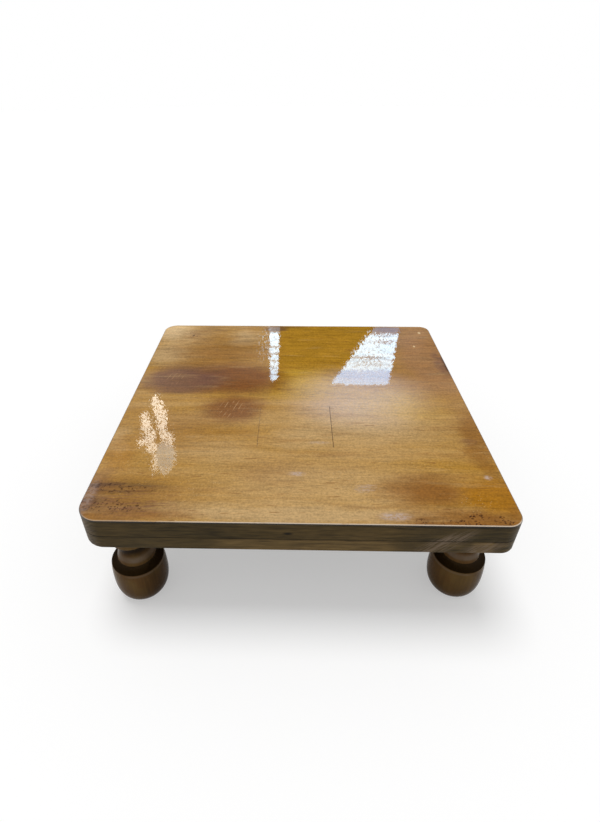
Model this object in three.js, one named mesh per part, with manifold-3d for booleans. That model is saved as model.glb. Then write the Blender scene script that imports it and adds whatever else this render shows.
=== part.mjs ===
// Low square table on four turned legs. Millimetres, Z up, front towards -Y,
// origin on the floor under the middle of the top.
import * as THREE from 'three';
import { mergeVertices } from 'three/addons/utils/BufferGeometryUtils.js';
import Module from 'manifold-3d';

const wasm = await Module();
wasm.setup();

// Overall sizes
const table = { width: 457, depth: 457, height: 152 };
const cornerRadius = { frontLeft: 25, frontRight: 18, backRight: 15, backLeft: 20 };
const clearance = 0.3;
const overrun = 5;

// The top is glued up from four rows of board with the grain along X.
// The second row from the front is butt-jointed from three shorter pieces.
const boards = {
  thickness: 23.5,
  arris: 1.6,
  frontWidth: 121,
  jointedWidth: 86,
  middleWidth: 117,
  leftPieceLength: 180,
  middlePieceLength: 92,
};

// The frame under the boards: two long rails, two side rails and two battens
const rail = { thickness: 17.5, width: 76, arris: 1.5 };
const batten = { width: 46, chamfer: 3 };
const tenon = { length: 10, thickness: 6, shoulder: 14 };
const battenTenonShoulder = 8;

// The turned leg, from the floor up
const leg = {
  footFlatRadius: 13,
  bowlRadius: 31.6,
  bowlWidestHeight: 31,
  rimRadius: 30,
  rimHeight: 56,
  rimChamfer: 0.8,
  coveRadius: 19.5,
  ringRadius: 22,
  ringHeight: 62,
  ringRound: 1.6,
  waistRadius: 17.5,
  waistHeight: 84,
  collarRadius: 25,
  collarHeight: 18,
  collarRound: 2.5,
  spigotRadius: 12.5,
  spigotDepthInBoard: 14,
  spigotChamfer: 1.5,
  footFlareShare: 0.6,
  footRiseShare: 0.28,
  bowlRiseShare: 0.6,
  ringTaperShare: 0.35,
};
const legInset = {
  front_left_leg: { side: 42, end: 35 },
  front_right_leg: { side: 37, end: 46 },
  back_left_leg: { side: 40, end: 40 },
  back_right_leg: { side: 40, end: 40 },
};

// Countersunk screws, driven up through the frame into the boards
const screw = { length: 32, shankRadius: 2, headRadius: 4, headDepth: 2.4, tipLength: 5 };
const railScrewWidthShares = [-0.25, 0, 0.25];
const pairedScrewBattenShare = 0.25;

// Facets of the round pieces
const legFacets = 28;
const screwFacets = 12;
const curvePoints = 4;
const cornerFacets = 8;
const arrisFacets = 3;

const half = { x: table.width / 2, y: table.depth / 2 };
const boardBottom = table.height - boards.thickness;
const frameBottom = boardBottom - rail.thickness;
const railInner = { x: half.x - rail.width, y: half.y - rail.width };
const jointLine = {
  frontRow: -half.y + boards.frontWidth,
  jointedRow: -half.y + boards.frontWidth + boards.jointedWidth,
  middleRow: -half.y + boards.frontWidth + boards.jointedWidth + boards.middleWidth,
  leftButt: -half.x + boards.leftPieceLength,
  rightButt: -half.x + boards.leftPieceLength + boards.middlePieceLength,
};

const topWood = new THREE.MeshStandardMaterial({ color: '#b0803f', roughness: 0.25, metalness: 0 });
const frameWood = new THREE.MeshStandardMaterial({ color: '#4a3b28', roughness: 0.35, metalness: 0 });
const legWood = new THREE.MeshStandardMaterial({ color: '#45321f', roughness: 0.3, metalness: 0 });
const screwSteel = new THREE.MeshStandardMaterial({ color: '#9a978f', roughness: 0.4, metalness: 1 });

// Turns a closed geometry into a solid that can be cut and joined
function solidFrom(geometry) {
  const bare = geometry.clone();
  bare.deleteAttribute('normal');
  bare.deleteAttribute('uv');
  const merged = mergeVertices(bare);
  const corners = merged.index.array;
  const triangles = [];
  for (let first = 0; first < corners.length; first += 3) {
    const [a, b, c] = corners.slice(first, first + 3);
    if (a !== b && b !== c && c !== a) triangles.push(a, b, c);
  }
  return new wasm.Manifold(new wasm.Mesh({
    numProp: 3,
    vertProperties: merged.attributes.position.array,
    triVerts: new Uint32Array(triangles),
  }));
}

function geometryFrom(solid) {
  const mesh = solid.getMesh();
  const geometry = new THREE.BufferGeometry();
  geometry.setAttribute('position', new THREE.BufferAttribute(mesh.vertProperties, mesh.numProp));
  geometry.setIndex(new THREE.BufferAttribute(mesh.triVerts, 1));
  const faceted = geometry.toNonIndexed();
  faceted.computeVertexNormals();
  return faceted;
}

function named(name, geometry, material) {
  const mesh = new THREE.Mesh(geometry, material.clone());
  mesh.name = name;
  return mesh;
}

// A rectangular block between low and high limits on each axis
function block(x, y, z) {
  const box = new THREE.BoxGeometry(x[1] - x[0], y[1] - y[0], z[1] - z[0]);
  box.translate((x[0] + x[1]) / 2, (y[0] + y[1]) / 2, (z[0] + z[1]) / 2);
  return solidFrom(box);
}

// A turned solid from its profile of radius and height, standing on Z
function turned(profile, facets) {
  return new THREE.LatheGeometry(profile, facets).rotateX(Math.PI / 2);
}

// Outline of the whole slab in plan, with its four rounded corners
function slabOutline() {
  const outline = new THREE.Shape();
  const corners = [
    { side: 1, end: -1, radius: cornerRadius.frontRight, start: -Math.PI / 2 },
    { side: 1, end: 1, radius: cornerRadius.backRight, start: 0 },
    { side: -1, end: 1, radius: cornerRadius.backLeft, start: Math.PI / 2 },
    { side: -1, end: -1, radius: cornerRadius.frontLeft, start: Math.PI },
  ];
  for (const { side, end, radius, start } of corners) {
    const centreX = side * (half.x - radius);
    const centreY = end * (half.y - radius);
    outline.absarc(centreX, centreY, radius, start, start + Math.PI / 2, false);
  }
  outline.closePath();
  return outline;
}

// The slab outline as a blank whose upper and lower arrises are rounded
function slabBlank(low, high, arris) {
  const blank = new THREE.ExtrudeGeometry(slabOutline(), {
    depth: high - low - 2 * arris,
    bevelEnabled: true,
    bevelThickness: arris,
    bevelSize: arris,
    bevelOffset: -arris,
    bevelSegments: arrisFacets,
    curveSegments: cornerFacets,
  });
  blank.translate(0, 0, low + arris);
  return solidFrom(blank);
}

// Where each screw goes: its name and its place in plan
function screwPlaces() {
  const railMiddle = { x: half.x - rail.width / 2, y: half.y - rail.width / 2 };
  const row = {
    front: (-railInner.y + jointLine.frontRow) / 2,
    jointed: (jointLine.frontRow + jointLine.jointedRow) / 2,
    middle: (jointLine.jointedRow + jointLine.middleRow) / 2,
    back: (jointLine.middleRow + railInner.y) / 2,
  };
  const places = [];
  railScrewWidthShares.forEach((share, index) => {
    const x = share * table.width;
    places.push({ name: `front_rail_screw_${index + 1}`, x, y: -railMiddle.y });
    places.push({ name: `back_rail_screw_${index + 1}`, x, y: railMiddle.y });
  });
  for (const [side, x] of [['left', -railMiddle.x], ['right', railMiddle.x]]) {
    places.push({ name: `${side}_rail_screw_1`, x, y: row.jointed });
    places.push({ name: `${side}_rail_screw_2`, x, y: row.middle });
  }
  const pairOffset = batten.width * pairedScrewBattenShare;
  for (const [side, x] of [['left', jointLine.leftButt], ['right', jointLine.rightButt]]) {
    places.push({ name: `${side}_batten_screw_1`, x, y: row.front });
    places.push({ name: `${side}_batten_screw_2`, x: x - pairOffset, y: row.jointed });
    places.push({ name: `${side}_batten_screw_3`, x: x + pairOffset, y: row.jointed });
    places.push({ name: `${side}_batten_screw_4`, x, y: row.middle });
    places.push({ name: `${side}_batten_screw_5`, x, y: row.back });
  }
  return places;
}

function screwGeometry() {
  return turned([
    new THREE.Vector2(0, 0),
    new THREE.Vector2(screw.headRadius, 0),
    new THREE.Vector2(screw.shankRadius, screw.headDepth),
    new THREE.Vector2(screw.shankRadius, screw.length - screw.tipLength),
    new THREE.Vector2(0, screw.length),
  ], screwFacets);
}

// The countersunk hole of one screw
function screwHole({ x, y }) {
  const hole = turned([
    new THREE.Vector2(0, -overrun),
    new THREE.Vector2(screw.headRadius + clearance, -overrun),
    new THREE.Vector2(screw.headRadius + clearance, 0),
    new THREE.Vector2(screw.shankRadius + clearance, screw.headDepth),
    new THREE.Vector2(screw.shankRadius + clearance, screw.length - screw.tipLength),
    new THREE.Vector2(0, screw.length + clearance),
  ], screwFacets);
  return solidFrom(hole.translate(x, y, frameBottom));
}

// Profile of the leg: a bowl foot with a crisp rim, a cove, a ring, a waisted neck,
// a collar and the spigot
function legProfile() {
  const path = new THREE.Path();
  const ringTop = leg.ringHeight + leg.ringRound;
  const collarBottom = frameBottom - leg.collarHeight;
  const spigotTop = boardBottom + leg.spigotDepthInBoard;
  const neckRise = leg.waistHeight - ringTop;
  const rimEdge = leg.rimHeight - leg.rimChamfer;
  path.moveTo(0, 0);
  path.lineTo(leg.footFlatRadius, 0);
  path.bezierCurveTo(
    THREE.MathUtils.lerp(leg.footFlatRadius, leg.bowlRadius, leg.footFlareShare), 0,
    leg.bowlRadius, leg.bowlWidestHeight * leg.footRiseShare,
    leg.bowlRadius, leg.bowlWidestHeight,
  );
  path.quadraticCurveTo(
    leg.bowlRadius, THREE.MathUtils.lerp(leg.bowlWidestHeight, rimEdge, leg.bowlRiseShare),
    leg.rimRadius, rimEdge,
  );
  path.lineTo(leg.rimRadius - leg.rimChamfer, leg.rimHeight);
  path.quadraticCurveTo(leg.coveRadius, leg.rimHeight, leg.coveRadius, leg.ringHeight);
  path.lineTo(leg.ringRadius - leg.ringRound, leg.ringHeight);
  path.quadraticCurveTo(leg.ringRadius, leg.ringHeight, leg.ringRadius, ringTop);
  path.bezierCurveTo(
    THREE.MathUtils.lerp(leg.ringRadius, leg.waistRadius, leg.ringTaperShare),
    ringTop + neckRise * leg.ringTaperShare,
    leg.waistRadius, leg.waistHeight - neckRise * leg.ringTaperShare,
    leg.waistRadius, leg.waistHeight,
  );
  path.quadraticCurveTo(
    leg.waistRadius, collarBottom,
    leg.collarRadius - leg.collarRound, collarBottom,
  );
  path.quadraticCurveTo(
    leg.collarRadius, collarBottom,
    leg.collarRadius, collarBottom + leg.collarRound,
  );
  path.lineTo(leg.collarRadius, frameBottom);
  path.lineTo(leg.spigotRadius, frameBottom);
  path.lineTo(leg.spigotRadius, spigotTop - leg.spigotChamfer);
  path.lineTo(leg.spigotRadius - leg.spigotChamfer, spigotTop);
  path.lineTo(0, spigotTop);
  return path.getPoints(curvePoints);
}

function legPlaces() {
  return Object.entries(legInset).map(([name, inset]) => ({
    name,
    x: (name.includes('left') ? -1 : 1) * (half.x - inset.side),
    y: (name.startsWith('front') ? -1 : 1) * (half.y - inset.end),
  }));
}

// The bore that a leg's spigot is glued into, open at the underside
function legBore({ x, y }) {
  const bottom = frameBottom - overrun;
  const top = boardBottom + leg.spigotDepthInBoard + clearance;
  const radius = leg.spigotRadius + clearance;
  const bore = new THREE.CylinderGeometry(radius, radius, top - bottom, legFacets);
  bore.rotateX(Math.PI / 2).translate(x, y, (top + bottom) / 2);
  return solidFrom(bore);
}

// The frame members that run from the front rail to the back rail, and their tenons
const crossMembers = [
  { name: 'left_rail', x: -(half.x + railInner.x) / 2, tenonWidth: rail.width - 2 * tenon.shoulder },
  { name: 'right_rail', x: (half.x + railInner.x) / 2, tenonWidth: rail.width - 2 * tenon.shoulder },
  { name: 'left_batten', x: jointLine.leftButt, tenonWidth: batten.width - 2 * battenTenonShoulder },
  { name: 'right_batten', x: jointLine.rightButt, tenonWidth: batten.width - 2 * battenTenonShoulder },
];

// One bar through the whole member: its tenons, or with a play their mortises
function tenonBar({ x, tenonWidth }, play) {
  const middle = frameBottom + rail.thickness / 2;
  const reach = railInner.y + tenon.length + play;
  const halfWidth = tenonWidth / 2 + play;
  const halfThickness = tenon.thickness / 2 + play;
  return block(
    [x - halfWidth, x + halfWidth],
    [-reach, reach],
    [middle - halfThickness, middle + halfThickness],
  );
}

// A batten between the rails, with its two lower arrises chamfered
function battenBody(x) {
  const section = new THREE.Shape();
  section.moveTo(-batten.width / 2 + batten.chamfer, frameBottom);
  section.lineTo(batten.width / 2 - batten.chamfer, frameBottom);
  section.lineTo(batten.width / 2, frameBottom + batten.chamfer);
  section.lineTo(batten.width / 2, boardBottom);
  section.lineTo(-batten.width / 2, boardBottom);
  section.lineTo(-batten.width / 2, frameBottom + batten.chamfer);
  section.closePath();
  const bar = new THREE.ExtrudeGeometry(section, { depth: 2 * railInner.y, bevelEnabled: false });
  bar.rotateX(Math.PI / 2).translate(x, railInner.y, 0);
  return solidFrom(bar);
}

const holes = [...screwPlaces().map(screwHole), ...legPlaces().map(legBore)];

// Cuts the screw holes and leg bores that reach a piece
function bored(solid) {
  return holes.reduce((piece, hole) => piece.subtract(hole), solid);
}

function topBoards() {
  const group = new THREE.Group();
  const blank = slabBlank(boardBottom - boards.arris - overrun, table.height, boards.arris);
  const past = { x: half.x + overrun, y: half.y + overrun };
  const height = [boardBottom, table.height + overrun];
  const jointedRow = [jointLine.frontRow, jointLine.jointedRow];
  const pieces = {
    front_board: [[-past.x, past.x], [-past.y, jointLine.frontRow]],
    jointed_board_left: [[-past.x, jointLine.leftButt], jointedRow],
    jointed_board_middle: [[jointLine.leftButt, jointLine.rightButt], jointedRow],
    jointed_board_right: [[jointLine.rightButt, past.x], jointedRow],
    middle_board: [[-past.x, past.x], [jointLine.jointedRow, jointLine.middleRow]],
    back_board: [[-past.x, past.x], [jointLine.middleRow, past.y]],
  };
  for (const [name, [x, y]] of Object.entries(pieces)) {
    const board = bored(blank.intersect(block(x, y, height)));
    group.add(named(name, geometryFrom(board), topWood));
  }
  return group;
}

function frame() {
  const group = new THREE.Group();
  const blank = slabBlank(frameBottom, boardBottom + rail.arris + overrun, rail.arris);
  const past = { x: half.x + overrun, y: half.y + overrun };
  const height = [frameBottom - overrun, boardBottom];
  const longRails = {
    front_rail: [-past.y, -railInner.y],
    back_rail: [railInner.y, past.y],
  };
  for (const [name, y] of Object.entries(longRails)) {
    let solid = blank.intersect(block([-past.x, past.x], y, height));
    for (const member of crossMembers) solid = solid.subtract(tenonBar(member, clearance));
    group.add(named(name, geometryFrom(bored(solid)), frameWood));
  }
  const sideRails = {
    left_rail: [-past.x, -railInner.x],
    right_rail: [railInner.x, past.x],
  };
  for (const member of crossMembers) {
    const side = sideRails[member.name];
    const body = side
      ? blank.intersect(block(side, [-railInner.y, railInner.y], height))
      : battenBody(member.x);
    const solid = bored(body.add(tenonBar(member, 0)));
    group.add(named(member.name, geometryFrom(solid), frameWood));
  }
  return group;
}

function legs() {
  const group = new THREE.Group();
  const shape = turned(legProfile(), legFacets);
  for (const { name, x, y } of legPlaces()) {
    const mesh = named(name, shape, legWood);
    mesh.position.set(x, y, 0);
    group.add(mesh);
  }
  return group;
}

function screws() {
  const group = new THREE.Group();
  const shape = screwGeometry();
  for (const { name, x, y } of screwPlaces()) {
    const mesh = named(name, shape, screwSteel);
    mesh.position.set(x, y, frameBottom);
    group.add(mesh);
  }
  return group;
}

const lowTable = new THREE.Group();
lowTable.add(topBoards(), frame(), legs(), screws());

export default lowTable;
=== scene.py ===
"""A low square wooden table on four turned legs, built as a Blender add-on.

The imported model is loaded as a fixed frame. Every piece takes its place from the node that it stands for.
"""

import math
import bmesh
import bpy
from bpy.props import FloatProperty, FloatVectorProperty, IntProperty, PointerProperty
from mathutils import Matrix, Vector


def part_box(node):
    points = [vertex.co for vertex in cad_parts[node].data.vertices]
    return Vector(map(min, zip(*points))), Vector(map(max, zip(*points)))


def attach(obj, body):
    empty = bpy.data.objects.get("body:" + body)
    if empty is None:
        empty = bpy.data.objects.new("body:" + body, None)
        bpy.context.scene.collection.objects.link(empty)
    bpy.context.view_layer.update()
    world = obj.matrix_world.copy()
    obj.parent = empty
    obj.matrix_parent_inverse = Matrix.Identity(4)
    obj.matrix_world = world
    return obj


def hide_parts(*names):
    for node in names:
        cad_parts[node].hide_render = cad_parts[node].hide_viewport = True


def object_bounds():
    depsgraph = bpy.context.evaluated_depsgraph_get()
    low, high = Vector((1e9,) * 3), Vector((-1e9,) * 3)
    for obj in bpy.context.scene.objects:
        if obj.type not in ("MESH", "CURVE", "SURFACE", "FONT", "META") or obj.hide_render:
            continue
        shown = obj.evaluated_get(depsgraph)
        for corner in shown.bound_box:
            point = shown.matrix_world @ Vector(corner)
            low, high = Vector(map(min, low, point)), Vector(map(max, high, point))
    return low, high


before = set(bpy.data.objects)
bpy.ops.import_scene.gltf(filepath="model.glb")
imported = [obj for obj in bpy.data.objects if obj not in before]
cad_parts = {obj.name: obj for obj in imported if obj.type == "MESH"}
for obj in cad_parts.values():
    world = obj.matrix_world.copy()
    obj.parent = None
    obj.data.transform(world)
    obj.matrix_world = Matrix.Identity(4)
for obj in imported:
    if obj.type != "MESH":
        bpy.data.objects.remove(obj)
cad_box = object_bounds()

bl_info = {
    "name": "Low table with turned legs",
    "version": (1, 0, 0),
    "blender": (4, 5, 0),
    "location": "3D View > Sidebar > Low Table",
    "description": "Builds a low square wooden table on turned legs from its packed frame",
    "category": "Object",
}

BOARDS = (
    "front_board",
    "jointed_board_left",
    "jointed_board_middle",
    "jointed_board_right",
    "middle_board",
    "back_board",
)
LONG_RAILS = ("front_rail", "back_rail")
SIDE_RAILS = ("left_rail", "right_rail")
BATTENS = ("left_batten", "right_batten")
LEGS = ("front_left_leg", "front_right_leg", "back_left_leg", "back_right_leg")
SCREWS = tuple(sorted(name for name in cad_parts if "_screw_" in name))
MM = 0.001


# What a user would change


def length(name, default, text):
    """A length in metres for a property group."""
    return FloatProperty(name=name, default=default, description=text, unit="LENGTH", precision=5, min=0.0)


def count(name, default, least, text):
    """A number of faces for a property group."""
    return IntProperty(name=name, default=default, min=least, description=text)


def colour(name, default, text):
    """A linear colour for a property group."""
    return FloatVectorProperty(
        name=name, default=default, description=text, subtype="COLOR", size=3, min=0.0, max=1.0
    )


class TableSizes(bpy.types.PropertyGroup):
    """Sizes of the table's pieces."""

    front_left_corner: length("Front left corner", 0.025, "Radius of the top's front left corner")
    front_right_corner: length("Front right corner", 0.018, "Radius of the top's front right corner")
    back_left_corner: length("Back left corner", 0.020, "Radius of the top's back left corner")
    back_right_corner: length("Back right corner", 0.015, "Radius of the top's back right corner")
    board_arris: length("Board arris", 0.0016, "Rounding round the top's upper edge")
    rail_arris: length("Rail arris", 0.0015, "Rounding round the frame's lower edge")
    row_groove: length("Row groove", 0.00006, "Eased edge where two rows of board meet")
    butt_groove: length("Butt groove", 0.00022, "Eased edge where two boards meet end to end")
    layer_groove: length("Layer groove", 0.0003, "Eased edge where the boards lie on the frame")
    inner_edge: length("Inner edge", 0.0006, "Eased edge inside the frame")
    batten_chamfer: length("Batten chamfer", 0.003, "Chamfer under each batten")
    play: length("Play", 0.0003, "Gap round a tenon, a spigot or a screw")
    tenon_length: length("Tenon length", 0.010, "How far a tenon enters a long rail")
    tenon_thickness: length("Tenon thickness", 0.006, "Thickness of each tenon")
    rail_shoulder: length("Rail shoulder", 0.014, "Shoulder beside a side rail's tenon")
    batten_shoulder: length("Batten shoulder", 0.008, "Shoulder beside a batten's tenon")
    foot_flat: length("Foot flat", 0.013, "Radius of the flat on which a leg stands")
    bowl_radius: length("Bowl radius", 0.0316, "Widest radius of the bowl-shaped foot")
    bowl_height: length("Bowl height", 0.031, "Height at which the foot is widest")
    rim_radius: length("Rim radius", 0.030, "Radius of the foot's rim")
    rim_height: length("Rim height", 0.056, "Height of the foot's rim")
    rim_round: length("Rim rounding", 0.0008, "Rounding of the foot's rim")
    cove_radius: length("Cove radius", 0.0195, "Radius at which the hollow meets the ring")
    ring_radius: length("Ring radius", 0.022, "Radius of the ring")
    ring_height: length("Ring height", 0.062, "Height of the ring's lower edge")
    ring_round: length("Ring rounding", 0.0016, "Rounding of the ring's lower edge")
    waist_radius: length("Waist radius", 0.0175, "Radius of the neck at its waist")
    waist_height: length("Waist height", 0.084, "Height of the neck's waist")
    collar_radius: length("Collar radius", 0.025, "Radius of the collar under the frame")
    collar_height: length("Collar height", 0.018, "Height of the collar")
    collar_round: length("Collar rounding", 0.0025, "Rounding of the collar's lower edge")
    spigot_radius: length("Spigot radius", 0.0125, "Radius of the spigot that enters the top")
    spigot_chamfer: length("Spigot chamfer", 0.0015, "Chamfer at the spigot's end")
    screw_shank: length("Screw shank", 0.002, "Radius of a screw's shank")
    screw_head: length("Screw head", 0.004, "Radius of a screw's head")
    screw_head_depth: length("Screw head depth", 0.0024, "Depth of a screw's head")
    screw_tip: length("Screw tip", 0.005, "Length of a screw's point")
    recess_length: length("Recess length", 0.0042, "Length of the cross in a screw's head")
    recess_width: length("Recess width", 0.0009, "Width of the cross in a screw's head")
    recess_depth: length("Recess depth", 0.0014, "Depth of the cross in a screw's head")
    corner_steps: count("Corner steps", 14, 2, "Faces round each corner")
    arris_steps: count("Arris steps", 5, 1, "Faces across each arris")
    turning_steps: count("Turning steps", 96, 12, "Faces round each leg")
    curve_steps: count("Curve steps", 12, 2, "Faces along each curve of a leg")
    screw_steps: count("Screw steps", 24, 8, "Faces round each screw")


class TableColours(bpy.types.PropertyGroup):
    """Colours of the table's finishes."""

    honey: colour("Honey", (0.415, 0.212, 0.030), "The lacquered top's main colour")
    pale: colour("Pale wood", (0.530, 0.345, 0.150), "Paler wood in the top")
    cream: colour("Cream wood", (0.720, 0.520, 0.280), "Palest wood and specks in the top")
    gold: colour("Gold", (0.405, 0.208, 0.017), "Deep golden wood at the back of the top")
    straw: colour("Straw", (0.545, 0.325, 0.040), "Yellow wood in the middle of the top")
    amber: colour("Amber", (0.375, 0.158, 0.008), "Orange wood near the front right corner")
    brown: colour("Brown", (0.252, 0.100, 0.014), "Browner wood in the top")
    rose: colour("Rose brown", (0.325, 0.150, 0.052), "Faded brown wood in the back right")
    smoke: colour("Smoke", (0.150, 0.064, 0.042), "Dark cloud in the top's stain")
    russet: colour("Russet", (0.170, 0.044, 0.003), "Red-brown cloud in the top's stain")
    soot: colour("Soot", (0.050, 0.036, 0.026), "Blackish streaks near the front left corner")
    fleck: colour("Fleck", (0.045, 0.012, 0.003), "Dark flecks near the front corners")
    line: colour("Grain line", (0.200, 0.085, 0.018), "Thin dark lines of grain")
    mark: colour("Mark", (0.500, 0.400, 0.360), "Pale worn marks in the lacquer")
    scratch: colour("Scratch", (0.480, 0.270, 0.120), "Light scratches")
    # Painted highlight: this pale colour on the top's front arris stands in for the light that the rounded
    # edge mirrors.
    lighter_tone: colour("Bare arris", (0.640, 0.520, 0.390), "Where the top's front edge is rubbed to pale wood")
    joint: colour("Joint", (0.060, 0.028, 0.010), "Dirt and glue in the open joints")
    olive: colour("Olive brown", (0.058, 0.040, 0.014), "Stain on the top's edges and on the frame")
    olive_warm: colour("Warm olive", (0.132, 0.084, 0.029), "Browner parts of the edge stain")
    olive_thin: colour("Thin olive", (0.180, 0.115, 0.042), "Thinner stain on the frame")
    olive_scuff: colour("Scuffed olive", (0.240, 0.172, 0.115), "Where the edge stain is scuffed")
    # Painted shade: the dark band just under the top's arris. The same colour also draws dark grain, a knot
    # and the joint line on the edges.
    dark_line_and_shade: colour("Edge line", (0.006, 0.004, 0.002), "Dark stain just under the top's arris")
    underside: colour("Underside", (0.115, 0.074, 0.038), "Stain under the boards")
    leg: colour("Leg brown", (0.135, 0.078, 0.024), "Stain on the turned legs")
    leg_red: colour("Leg red-brown", (0.120, 0.060, 0.018), "Redder parts of the legs' stain")
    leg_low: colour("Leg low", (0.070, 0.032, 0.006), "Darker stain low on the feet")
    # Dust with a painted highlight: this pale colour on the legs' rings and rims stands partly for light on
    # their upward slopes.
    leg_dusty_and_lit: colour("Leg dusty", (0.190, 0.136, 0.090), "Dust and wear on the legs' rings")
    # Painted shade: the dark band on the legs' necks under their collars.
    leg_collar_shade: colour("Leg groove", (0.018, 0.009, 0.003), "Stain that gathered under the legs' collars")
    # Dark stain with painted shade: the hollows are laid darker than the stain alone.
    leg_hollow_shade: colour("Leg hollow", (0.036, 0.020, 0.007), "Dull dark stain in the legs' hollows")
    steel: colour("Steel", (0.56, 0.55, 0.52), "Zinc-plated screws")
    floor: colour("Floor", (0.62, 0.62, 0.62), "Studio floor")
    window: colour("Window", (0.52, 0.77, 0.97), "Window mirrored in the back of the top")
    sunlit: colour("Sunlit", (0.98, 0.93, 0.82), "Sunlit patch mirrored in the left of the top")


# Shader maths


class Value:
    """A socket of a material's nodes. Arithmetic on it adds Math nodes."""

    def __init__(self, finish, socket):
        self.finish = finish
        self.socket = socket

    def maths(self, operation, *others, clamp=False):
        """The value of one Math node that takes this value first."""
        settings = {"operation": operation, "use_clamp": clamp}
        return self.finish.value("ShaderNodeMath", 0, settings, dict(enumerate((self,) + others)))

    def vector_maths(self, operation, *others):
        """The number that one Vector Math node makes from this vector."""
        inputs = dict(enumerate((self,) + others))
        return self.finish.value("ShaderNodeVectorMath", "Value", {"operation": operation}, inputs)

    def reflected(self, operation, other):
        """The value of one Math node that takes this value second."""
        return self.finish.value("ShaderNodeMath", 0, {"operation": operation}, {0: other, 1: self})

    def __add__(self, other):
        return self.maths("ADD", other)

    def __sub__(self, other):
        return self.maths("SUBTRACT", other)

    def __mul__(self, other):
        return self.maths("MULTIPLY", other)

    def __rsub__(self, other):
        return self.reflected("SUBTRACT", other)

    def __rtruediv__(self, other):
        return self.reflected("DIVIDE", other)

    __radd__ = __add__
    __rmul__ = __mul__

    def clamped(self):
        """This value, kept between 0 and 1."""
        return self.maths("ADD", 0.0, clamp=True)

    def step(self, start, end):
        """0 at start and before it, 1 at end and beyond it, and smooth between."""
        inputs = {"Value": self, "From Min": start, "From Max": end}
        return self.finish.value("ShaderNodeMapRange", "Result", {"interpolation_type": "SMOOTHSTEP"}, inputs)

    def line(self, gone, full):
        """1 where this value is within full of zero, and 0 where it is further off than gone."""
        return self.maths("ABSOLUTE").step(gone, full)


class Finish:
    """The nodes of one material or world, and the shade on which its colours are laid."""

    def __init__(self, owner):
        owner.use_nodes = True
        self.owner = owner
        self.tree = owner.node_tree
        self.tree.nodes.clear()
        self.shade = None

    def node(self, kind, settings=None, inputs=None):
        """Adds one node, with its settings first and then the values or links of its sockets."""
        made = self.tree.nodes.new(kind)
        for name, value in (settings or {}).items():
            setattr(made, name, value)
        for name, value in (inputs or {}).items():
            if isinstance(value, Value):
                self.tree.links.new(value.socket, made.inputs[name])
            else:
                made.inputs[name].default_value = value
        return made

    def value(self, kind, output, settings=None, inputs=None):
        """Adds one node and returns one of its outputs."""
        return Value(self, self.node(kind, settings, inputs).outputs[output])

    def place(self):
        """Object coordinates in metres as three values."""
        whole = self.value("ShaderNodeTexCoord", "Object")
        split = self.node("ShaderNodeSeparateXYZ", None, {0: whole})
        return [Value(self, split.outputs[axis]) for axis in "XYZ"]

    def point(self, x, y, z):
        """Three values as one vector."""
        return self.value("ShaderNodeCombineXYZ", "Vector", None, {"X": x, "Y": y, "Z": z})

    def noise(self, x, y, z, detail=2.0, roughness=0.5, distortion=0.0):
        """Noise from 0 to 1 at a point, with about one patch to each unit."""
        inputs = {"Vector": self.point(x, y, z), "Scale": 1.0, "Detail": detail}
        inputs.update({"Roughness": roughness, "Distortion": distortion})
        return self.value("ShaderNodeTexNoise", "Fac", None, inputs)

    def blend(self, share, first, second, kind="MIX"):
        """A colour between two colours."""
        settings = {"data_type": "RGBA", "blend_type": kind, "clamp_factor": True}
        return self.value("ShaderNodeMix", 2, settings, {0: share, 6: rgba(first), 7: rgba(second)})

    def lay(self, share, colour):
        """Lays a share of a colour over the shade."""
        self.shade = self.blend(share, self.shade, colour)

    def deepen(self, level):
        """Multiplies the shade by a level."""
        grey = {"Red": level, "Green": level, "Blue": level}
        grey = self.value("ShaderNodeCombineColor", "Color", None, grey)
        self.shade = self.blend(1.0, self.shade, grey, "MULTIPLY")

    def bump(self, height, distance, strength=1.0, under=None):
        """A normal from a height."""
        inputs = {"Height": height, "Distance": distance, "Strength": strength}
        if under is not None:
            inputs["Normal"] = under
        return self.value("ShaderNodeBump", "Normal", None, inputs)

    def principled(self, **inputs):
        """Ends the material in a Principled shader. Names have _ for each space."""
        named = {name.replace("_", " "): rgba(value) for name, value in inputs.items()}
        self.output(self.value("ShaderNodeBsdfPrincipled", "BSDF", None, named))
        return self.owner

    def lacquer(self, gloss, relief, shine):
        """Ends the material in lacquer or stain over the shade."""
        return self.principled(
            Base_Color=self.shade, Roughness=gloss, Specular_IOR_Level=shine, Normal=relief, IOR=1.5
        )

    def output(self, shader, kind="ShaderNodeOutputMaterial"):
        """Links a shader to the output."""
        self.node(kind, None, {"Surface": shader})


def rgba(value):
    """A three-part colour with its alpha; anything else as it is."""
    return value if isinstance(value, (Value, int, float)) else (*value, 1.0)


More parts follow.
